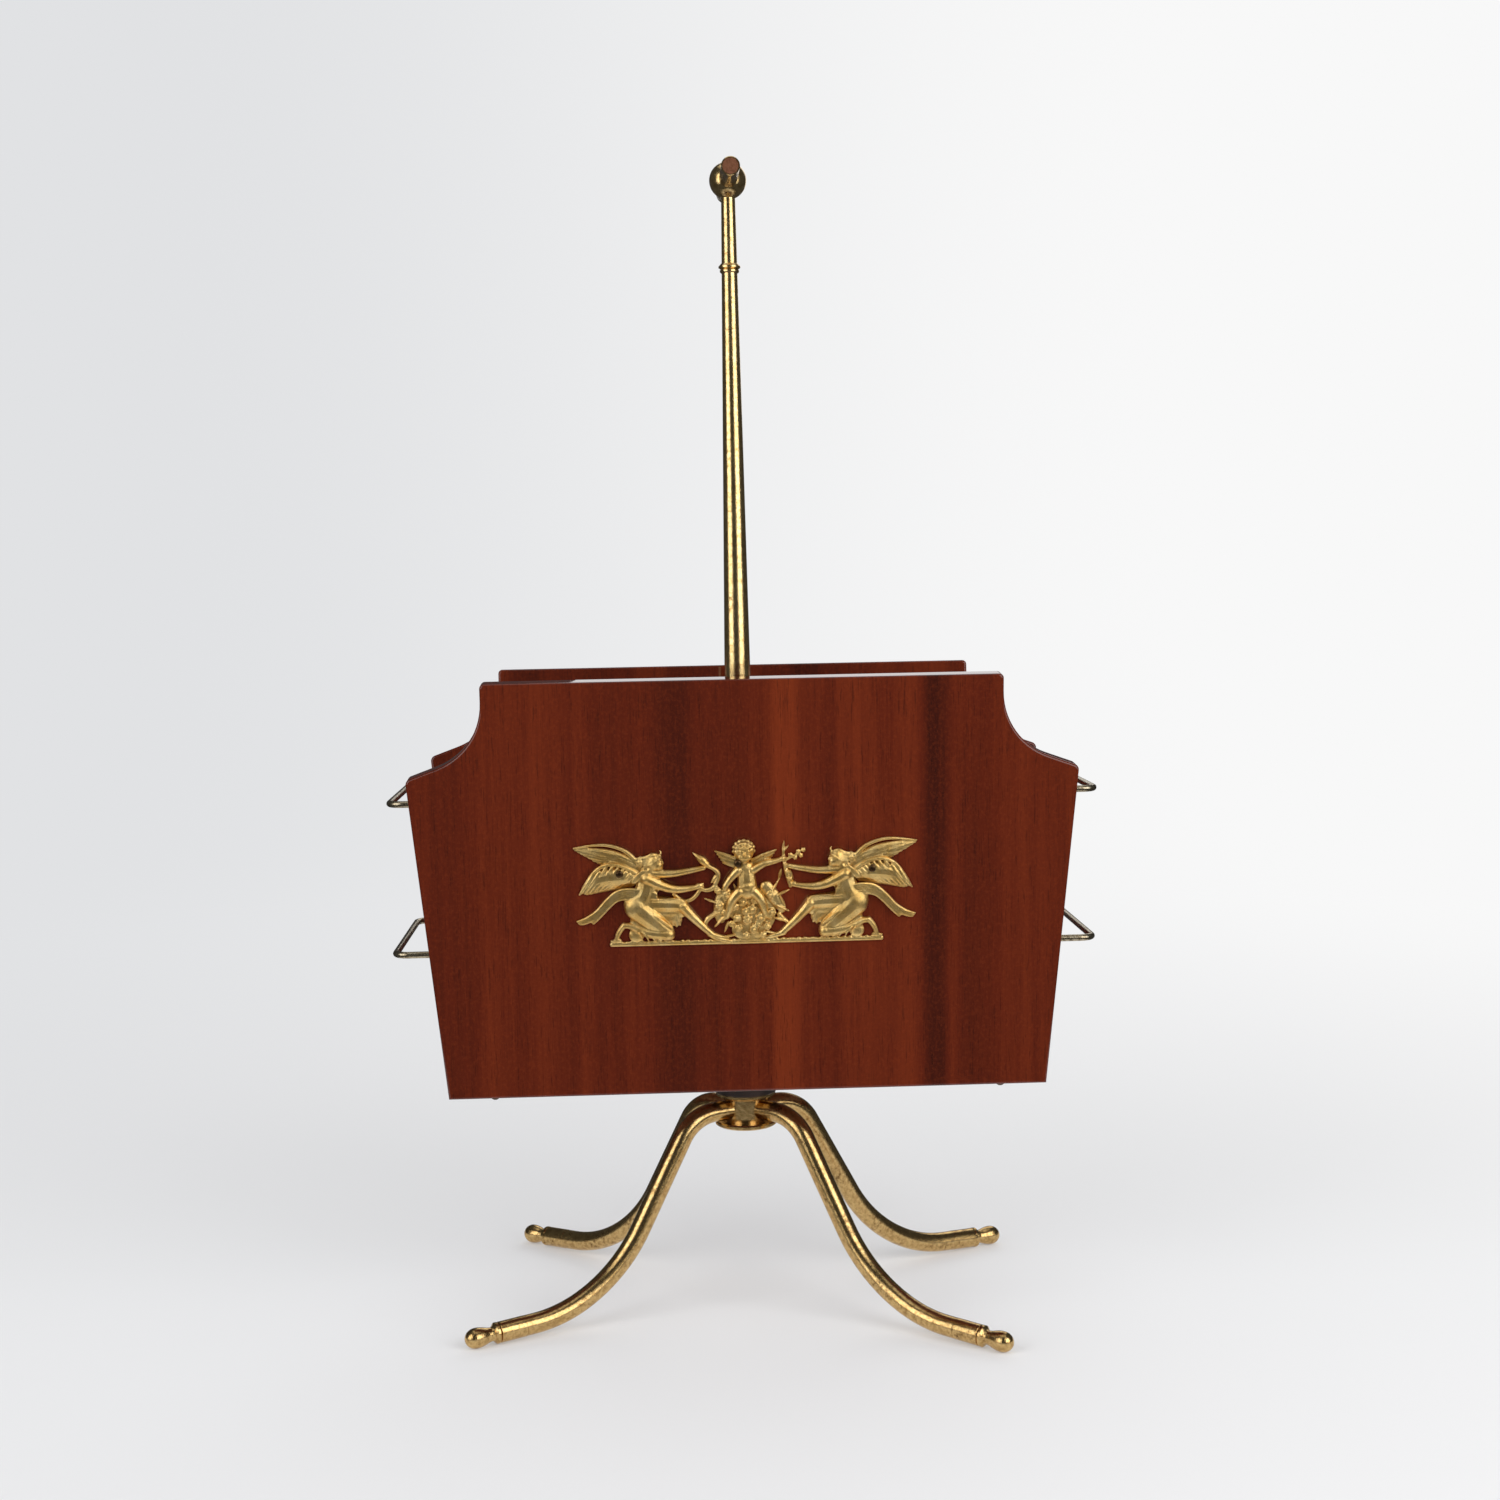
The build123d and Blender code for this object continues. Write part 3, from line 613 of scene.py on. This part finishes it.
def modelDress(clay):
    # folds over the thighs, a sash that streams behind and a fringe under the far thigh
    clay.stroke((57, 23, 1.4, 7.0), (49, 18, 1.2, 6.4), (46, 15.5, 1, 4.2), flat=0.4)
    clay.stroke((60, 24, 1.6, 9), (50, 22, 1.6, 8), (43, 22.5, 1.4, 5.6), flat=0.35)
    clay.stroke((60, 22, 1.2, 8), (52, 16, 1.2, 7.5), (58, 8, 1.2, 6), flat=0.35)
    clay.stroke((72, 30, 1.6, 7), (66, 16, 1.6, 8), (72, 6, 1.4, 5), flat=0.35)
    for step in range(7):
        x = 44 + step * 2.3
        clay.stroke((x + 2.5, 24, 3.0, 0.9), (x + 0.6, 18, 2.6, 1.0),
                    (x - 0.6, 12.4 - (step % 2), 1.6, 0.8))
    clay.stroke((66.5, 24, 6.0, 0.9), (57, 18.5, 6.6, 1.0), (48.6, 11, 5.2, 0.8))
    clay.stroke((64, 29, 5.4, 0.7), (52, 31.4, 4.6, 0.7), (42, 29.6, 3.6, 0.6))
    for step in range(5):
        clay.stroke((73 - step, 31 - step * 1.4, 5.6, 0.7), (67 - step * 1.8, 20 - step, 6.6, 0.7),
                    (60 - step * 1.6, 10 - step * 0.6, 5.2, 0.6))
    for step in range(4):
        clay.stroke((62 + step * 3, 8.5, 5.6, 0.6), (58 + step * 3.4, 5.6, 6.0, 0.6),
                    (56 + step * 4, 2.6, 4.6, 0.5))
    for step in range(5):
        drop = step * 1.5
        clay.stroke((58.5, 34.6 - drop * 0.6, 5.4, 0.9), (70, 37.6 - drop, 5.4, 1.0),
                    (83, 37.2 - drop, 3.2, 1.1),
                    (91.5 - step * 0.6, 29.6 - drop * 0.6, 2.8, 1.2),
                    (98 - step * 0.5, 21.4 - drop * 0.5, 2.4, 1.2),
                    (103.6 - step, 18.6 - drop * 0.6, 2, 1.0))
    for step in range(4):
        clay.stroke((100 + step, 17.4 + step * 0.4, 2.2, 1.1), (105 + step, 14.2 + step * 0.8, 2, 0.9),
                    (108.6 + step * 0.6, 14.0 + step * 0.7, 1.4, 0.5))
    for step in range(3):
        clay.stroke((63.6 + step * 1.6, 49.6 + step * 0.2, 5.4, 0.5), (68.6 + step * 1.6, 46.4, 5.4, 0.6),
                    (71.8 + step * 1.2, 41.6, 4.4, 0.5))
    clay.stroke((59, 44.8, 6.2, 0.5), (61.8, 40.4, 6.8, 0.6), (59.6, 36.4, 5.6, 0.5))
    clay.stroke((56, 43.4, 6, 0.5), (55, 39.6, 6.4, 0.5), (57.4, 36.2, 5.6, 0.4))


def modelGround(clay, start, end):
    # the ground bar, its top rough like turf
    clay.stroke((start, 0, 0.8, 1.7), ((start + end) / 2, 0, 0.9, 1.7), (end, 0, 0.8, 1.6), flat=0.9)
    for step in range(int((end - start) / relief["turfStep"])):
        x = start + 1 + step * relief["turfStep"]
        clay.blob((x, 1.2 + 0.35 * math.sin(step * 2.7), 1.4), (1.3, 0.7, 0.8), 20 * math.sin(step * 1.9))


def makeWinged(name, left):
    # one winged figure, modelled on the right and mirrored for the left
    clay = Clay()
    modelWings(clay)
    modelHead(clay, *relief["headPlace"])
    modelBody(clay)
    modelDress(clay)
    modelGround(clay, relief["barStartLeft"] if left else relief["barStartRight"], relief["barEnd"])
    if left:
        clay.mirror()
    clay.cast(name)


def modelCherub(clay):
    # a seated child with small wings, a torch in one hand
    clay.stroke((0, 49, 3, 5.2), (0.4, 42, 3.4, 6.6), (0.6, 35, 3.4, 6.4), flat=0.62)
    clay.blob((0.8, 37.4, 5.0), (4.6, 4.2, 2.8))
    clay.stroke((-0.8, 50, 3, 3.4), (-1.0, 55, 3, 3.2))
    clay.blob((-1.3, 61, 3.4), (6.8, 7.0, 4.6))
    clay.blob((-1.2, 58, 5.4), (4.9, 4.6, 3.0))
    for side in (-1, 1):
        clay.blob((-1.0 + side * 2.5, 57.4, 7.2), (1.9, 1.8, 1.5))
        clay.stroke((-1.0 + side * 1.2, 61.1, 7.9, 0.4), (-1.0 + side * 2.6, 61.5, 7.8, 0.5),
                    (-1.0 + side * 3.9, 61.0, 7.0, 0.35))
        clay.blob((-1.0 + side * 2.4, 60.1, 7.7), (1.0, 0.6, 0.6))
        clay.stroke((side * 4.6, 34, 4, 3.8), (side * 9.6, 29.6, 4.8, 3.2), (side * 11.5, 22, 4.4, 2.4),
                    (side * 13, 17.4, 3.6, 1.8))
        clay.stroke((side * 13, 17.6, 3.6, 1.7), (side * 15.6, 16, 3.2, 1.3))
        clay.feathers([(side * 4, 54), (side * 5, 50)], [(side * 19.6, 60.4), (side * 15, 53)], 5, 1.5, 2.2)
        clay.stroke((side * 4, 54.6, 3.2, 1.0), (side * 11, 58.6, 3.2, 1.0), (side * 19.8, 60.8, 1.6, 0.5))
    clay.stroke((-0.9, 60.4, 8.2, 0.5), (-0.8, 59.0, 8.8, 0.8))
    clay.stroke((-2.0, 56.7, 8.0, 0.4), (-0.9, 56.3, 8.3, 0.5), (0.2, 56.7, 8.0, 0.4))
    clay.blob((-0.9, 54.8, 6.8), (1.8, 1.3, 1.4))
    for ring, (count, reach, lift) in enumerate(((9, 6.4, 3.6), (8, 5.0, 6.0), (5, 2.8, 7.4))):
        for step in range(count):
            angle = math.radians(-8 + 196 * (step + 0.5 * (ring % 2)) / (count - 1 + 0.5 * (ring % 2)))
            clay.blob((-1.3 + math.cos(angle) * reach, 61.6 + math.sin(angle) * (reach - 0.4), lift),
                      (1.5, 1.3, 1.3), step * 50)
    clay.stroke((5, 48.6, 4, 2.9), (11, 52.6, 4.4, 2.4), (18, 53.4, 4, 1.9), (22.6, 54.8, 3.6, 1.5))
    clay.blob((23.4, 55.2, 4), (2.0, 1.7, 1.6))
    clay.stroke((-5, 48.2, 4, 2.9), (-10.6, 43.6, 4.8, 2.4), (-13.6, 38, 4.6, 1.9))
    clay.blob((-13.8, 36.6, 4.6), (2.0, 1.8, 1.6))


def modelTorch(clay):
    # a ringed torch with flame-like leaves and a small spray of blossoms
    clay.stroke((24.2, 61, 3, 0.9), (24.8, 52, 3, 1.3), (27, 44, 2.8, 1.8), (28.8, 36.8, 2.2, 1.4))
    for share in (0.1, 0.32, 0.55, 0.8):
        spot = Vector((24.4, 58)).lerp(Vector((28.6, 38)), share)
        clay.blob((spot.x, spot.y, 3.2), (2.1, 0.8, 1.9), -12)
    clay.leaf(24.2, 60, 3, 6.5, 84, 0.5)
    clay.leaf(24.6, 60, 3, 5.0, 50, 0.5)
    clay.stroke((25, 53.6, 3.2, 0.8), (29, 56, 3, 0.8), (33.5, 57.8, 2.4, 0.7), (37, 61, 1.8, 0.5))
    for x, y in ((29, 57.4), (32, 55.6), (34, 59.6), (37.4, 60.6), (35.8, 57)):
        clay.blossom(x, y, 2.8, 1.7, 5)
    clay.leaf(22.8, 48, 2.8, 7.5, 258, 0.5)
    clay.leaf(28.4, 47, 2.8, 8.5, 284, 0.5)


def modelBud(clay):
    # the pointed flower and its tendrils, on the left
    clay.stroke((-30, 37, 2.6, 1.4), (-25, 33, 2.6, 1.5), (-20, 38, 2.6, 1.6), flat=0.9)
    clay.stroke((-47, 33, 2.2, 1.3), (-42, 27, 2.0, 1.4), (-33, 30, 2.2, 1.4), (-30, 36, 2.4, 1.3),
                flat=0.9)
    clay.stroke((-20, 39.4, 2.6, 1.5), (-17, 44, 2.8, 1.7), (-19.6, 49, 3, 1.4), (-24, 51, 3, 1.2))
    clay.stroke((-23.6, 50.6, 2.8, 1.3), (-27.4, 54.6, 3, 3.2), (-31, 57.4, 2.6, 1.6),
                (-34.4, 60.2, 1.8, 0.4), flat=0.8)
    for side in (-1, 0, 1):
        clay.stroke((-24.4, 51.4, 4, 0.4),
                    (-27.6 + side * 1.5, 54.6 - side * 1.4, 5.4 - abs(side), 0.5), (-32.4, 58.2, 3.2, 0.35))
    clay.leaf(-20.6, 49.6, 2.6, 7, 168, 0.4)
    clay.leaf(-18.6, 46, 2.6, 8, 236, 0.45)


def modelMound(clay):
    # rock, leaves and blossoms under the child
    clay.stroke((-9, 26, 1.4, 9), (0, 22, 1.6, 12), (8, 17, 1.6, 11), flat=0.16)
    clay.stroke((10, 26, 1.4, 8), (14, 18, 1.6, 8), (6, 9, 1.6, 7), flat=0.18)
    clay.stroke((-4, 8, 1.4, 6), (2, 5.5, 1.4, 7), (8, 6, 1.2, 5), flat=0.2)
    clay.stroke((-14, 32, 2, 5), (-19, 24, 2, 4.6), (-17, 16, 1.6, 3.4), flat=0.5)
    clay.stroke((13, 36, 2, 4.4), (20, 28, 2, 4.8), (23, 21, 1.6, 2.6), flat=0.5)
    for x, y, r in ((-12.6, 31, 3.2), (-17.6, 25, 3.0), (-8, 24, 3.0), (-13.4, 20, 2.8),
                    (-2.4, 27, 3.0), (3.4, 22, 3.4),
                    (10.4, 25, 3.2), (9, 16, 3.4), (0.4, 15, 3.2), (16.6, 19.6, 2.8), (4.6, 8.4, 3.0),
                    (13.4, 10.4, 2.6),
                    (-5.4, 9.6, 2.6), (15.6, 31.4, 2.8), (-18.6, 35, 2.4), (-0.6, 20.6, 2.8),
                    (5.4, 28, 2.8),
                    (-6.4, 16.4, 2.8), (-0.4, 4.6, 2.6), (7.6, 12.2, 2.6), (-9.6, 12.6, 2.4),
                    (10.6, 4.8, 2.2)):
        clay.blossom(x, y, 3.9, r)
    for x, y, length, turn in ((-18, 20, 9, 200), (-16, 16, 8, 228), (-20, 27, 8, 160),
                               (-12, 14, 8, 250), (-4, 18, 8, 222),
                               (20, 24, 9, -28), (18, 16, 9, -20), (22, 30, 8, -64), (12, 7, 8, -14),
                               (-8, 5, 8, 190),
                               (17, 34, 8, 60), (20, 31, 9, 22), (6, 30, 7, 80), (-6, 33, 7, 110),
                               (4, 12, 7, -100)):
        clay.leaf(x, y, 3.2, length, turn, 0.4)
    clay.stroke((-21, 19, 2, 1.7), (-28, 15, 1.8, 1.6), (-26, 6.6, 1.6, 1.7), (-19, 2, 1.4, 1.8),
                (-11, 0.4, 1.2, 1.7))
    clay.stroke((21, 18, 2, 1.5), (25.4, 13.4, 1.8, 1.4), (27.6, 11.6, 1.6, 1.2))


def makeCentre(name):
    # the child on its mound, between the two winged figures
    clay = Clay()
    modelMound(clay)
    modelCherub(clay)
    modelTorch(clay)
    modelBud(clay)
    clay.stroke((-13, 0, 1, 1.75), (0, 0, 1.1, 1.8), (14, 0, 1, 1.75), flat=0.9)
    clay.cast(name)


makeWinged("relief_winged_left", True)
makeWinged("relief_winged_right", False)
makeCentre("relief_cherub_group")


pins = {
    # in the casting's millimetres: x, y and how far the head's top stands out
    "spots": ((-82.0, 47.6, 5.6), (82.0, 47.6, 5.6), (-5.4, 53.4, 8.0)),
    "headRadius": 2.5,
    "headBase": 3.6,
    "headEdge": 0.9,  # from the top of the dome down to its rim
    "shankRadius": 0.8,
    "shankEnd": -5.0,
    "steps": 32,
}


def makePins():
    # dark domed pins that hold the casting, turned from a half outline
    mesh = bmesh.new()
    radius = pins["headRadius"]
    shank = pins["shankRadius"]
    for x, y, top in pins["spots"]:
        outline = [(0, pins["shankEnd"]), (shank, pins["shankEnd"]), (shank, pins["headBase"]),
                   (radius, pins["headBase"]), (radius, top - pins["headEdge"]),
                   (radius * 0.8, top - 0.25), (radius * 0.45, top), (0, top)]
        line = [mesh.verts.new((x + reach, y, height)) for reach, height in outline]
        edges = [mesh.edges.new(pair) for pair in zip(line, line[1:])]
        bmesh.ops.spin(mesh, geom=line + edges, axis=(0, 0, 1), cent=(x, y, 0), angle=2 * math.pi,
                       steps=pins["steps"], use_merge=True)
    bmesh.ops.remove_doubles(mesh, verts=mesh.verts, dist=1e-4)
    bmesh.ops.transform(mesh, matrix=reliefPlace(), verts=mesh.verts)
    bmesh.ops.recalc_face_normals(mesh, faces=mesh.faces)
    heads = toObject(mesh, "relief_pin_heads", finishes["dark_brass"])
    heads.modifiers.new("flat_faces", "WEIGHTED_NORMAL")
    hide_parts("relief_pins")
    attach(heads, "rack")


makePins()
print("relief cast and pinned")


studio = {
    "paper": srgb(240, 240, 241),
    "paperShade": srgb(228, 228, 230),
    "segments": 96,
    "nearRadius": 0.42,  # the part of the floor that the gloss of the rack reflects
    "farRadius": 2.5,
    "bendRadius": 0.8,
    "bendSteps": 12,
    "wallHeight": 2.6,
    "glowReach": (-0.6, 1.9),  # distances from the rack over which lit paper turns into glowing wall
    # the wall's glow is painted light, dimmer on the left and brighter on the right
    "wallTurn": (-1.1, 1.1),  # x from which to which the wall goes from dim to bright
    "airTone": (0.95, 0.97, 1.0),
    "airStrength": 0.06,
    "wallDim": srgb(225, 226, 228),  # on the left
    "wallBright": srgb(248, 248, 248),  # on the right
    # name, place, aim, size, watts and whether gloss shows it
    "lamps": [
        ("key_right", (1.2, -1.3, 1.0), (0, 0, 0.42), (1.4, 1.6), 19, True),
        ("key_left", (-1.4, -1.1, 1.0), (0, 0, 0.42), (1.3, 1.6), 15, True),
        ("top", (0, 0.1, 2.5), (0, 0, 0), (2.0, 2.0), 9, True),
        ("rear", (0.4, 1.8, 1.3), (0, 0, 0.4), (1.3, 1.2), 6, True),
    ],
}


def makePaper():
    # lit by the lamps near the rack, and further out with a glow of its own, painted dimmer on the left and
    # brighter on the right as light falling from the right
    paint = Paint("paper_sweep")
    tooth = paint.noise(4.0, 2.0)
    split = {0: paint.place}
    x = paint.wire("ShaderNodeSeparateXYZ", None, split, out="X")
    reach = paint.wire("ShaderNodeVectorMath", {"operation": "LENGTH"}, split, out="Value")
    glow = paint.mask(reach, *studio["glowReach"])
    sheet = paint.mix(tooth * 0.04, studio["paper"], studio["paperShade"])
    # painted light: the glow runs from wallDim on the left to wallBright on the right
    light = paint.mix(paint.mask(x, *studio["wallTurn"]), studio["wallDim"], studio["wallBright"])
    return paint.finish({"Base Color": paint.mix(glow, sheet, (0, 0, 0)), "Roughness": 0.7,
                         "Specular IOR Level": 0.0, "Emission Color": paint.mix(glow, (0, 0, 0), light),
                         "Emission Strength": 1.0})


def makeFloor():
    # a round pale floor that curves up into a wall on every side; gloss shows only its middle
    near = bmesh.new()
    bmesh.ops.create_circle(near, cap_ends=True, segments=studio["segments"], radius=studio["nearRadius"])
    far = bmesh.new()
    bmesh.ops.create_circle(far, segments=studio["segments"], radius=studio["nearRadius"])
    grown = bmesh.ops.extrude_edge_only(far, edges=far.edges[:])["geom"]
    rim = [item for item in grown if isinstance(item, bmesh.types.BMVert)]
    flat = studio["farRadius"] / studio["nearRadius"]
    bmesh.ops.scale(far, verts=rim, vec=(flat, flat, 1))
    steps = studio["bendSteps"]
    for step in range(1, steps + 2):
        edges = [item for item in grown if isinstance(item, bmesh.types.BMEdge)]
        edges = [edge for edge in edges if all(vert in rim for vert in edge.verts)]
        grown = bmesh.ops.extrude_edge_only(far, edges=edges)["geom"]
        rim = [item for item in grown if isinstance(item, bmesh.types.BMVert)]
        angle = math.radians(90 * min(step, steps) / steps)
        radius = studio["farRadius"] + studio["bendRadius"] * math.sin(angle)
        height = studio["bendRadius"] * (1 - math.cos(angle))
        if step > steps:
            height = height + studio["wallHeight"]
        for vert in rim:
            spot = vert.co.xy.normalized() * radius
            vert.co = (spot.x, spot.y, height)
    paper = makePaper()
    for name, mesh, glossy in (("studio_floor", near, True), ("studio_wall", far, False)):
        bmesh.ops.recalc_face_normals(mesh, faces=mesh.faces)
        stage = toObject(mesh, name, paper)
        stage.visible_glossy = glossy


def softbox(name, place, aim, size, power, shown):
    # one soft rectangular lamp, turned to its aim
    lamp = bpy.data.lights.new(name, "AREA")
    lamp.shape = "RECTANGLE"
    lamp.size, lamp.size_y = size
    lamp.energy = power
    thing = bpy.data.objects.new(name, lamp)
    thing.location = place
    thing.rotation_euler = (Vector(aim) - Vector(place)).to_track_quat("-Z", "Y").to_euler()
    thing.visible_glossy = shown
    bpy.context.scene.collection.objects.link(thing)


def makeLights():
    for lamp in studio["lamps"]:
        softbox(*lamp)
    world = bpy.data.worlds.new("studio_air")
    bpy.context.scene.world = world
    world.use_nodes = True
    air = world.node_tree.nodes["Background"]
    air.inputs[0].default_value = (*studio["airTone"], 1)
    air.inputs[1].default_value = studio["airStrength"]


view = {
    "distance": 1.5012,
    "height": 0.5096,
    "turn": 2.05,  # degrees that the camera stands to the left of the rack's middle
    "pan": 0.29,
    "pitch": 4.90,
    "roll": 1.10,
    "focal": 52.8,
    "sensor": 36.0,
}


def makeCamera():
    lens = bpy.data.cameras.new("camera")
    lens.lens = view["focal"]
    lens.sensor_width = view["sensor"]
    camera = bpy.data.objects.new("camera", lens)
    turn = math.radians(view["turn"])
    away = view["distance"]
    place = Vector((-away * math.sin(turn), -away * math.cos(turn), view["height"]))
    heading = turn + math.radians(view["pan"])
    pitch = math.radians(view["pitch"])
    level = math.cos(pitch)
    forward = Vector((math.sin(heading) * level, math.cos(heading) * level, -math.sin(pitch)))
    side = Vector((math.cos(heading), -math.sin(heading), 0))
    up = side.cross(forward)
    roll = math.radians(view["roll"])
    top = up * math.cos(roll) + side * math.sin(roll)
    right = forward.cross(top)
    turned = Matrix((right, top, -forward)).transposed().to_4x4()
    camera.matrix_world = Matrix.Translation(place) @ turned
    bpy.context.scene.collection.objects.link(camera)
    bpy.context.scene.camera = camera


makeFloor()
makeLights()
makeCamera()
bpy.context.scene.view_settings.view_transform = "Standard"
print("studio set")
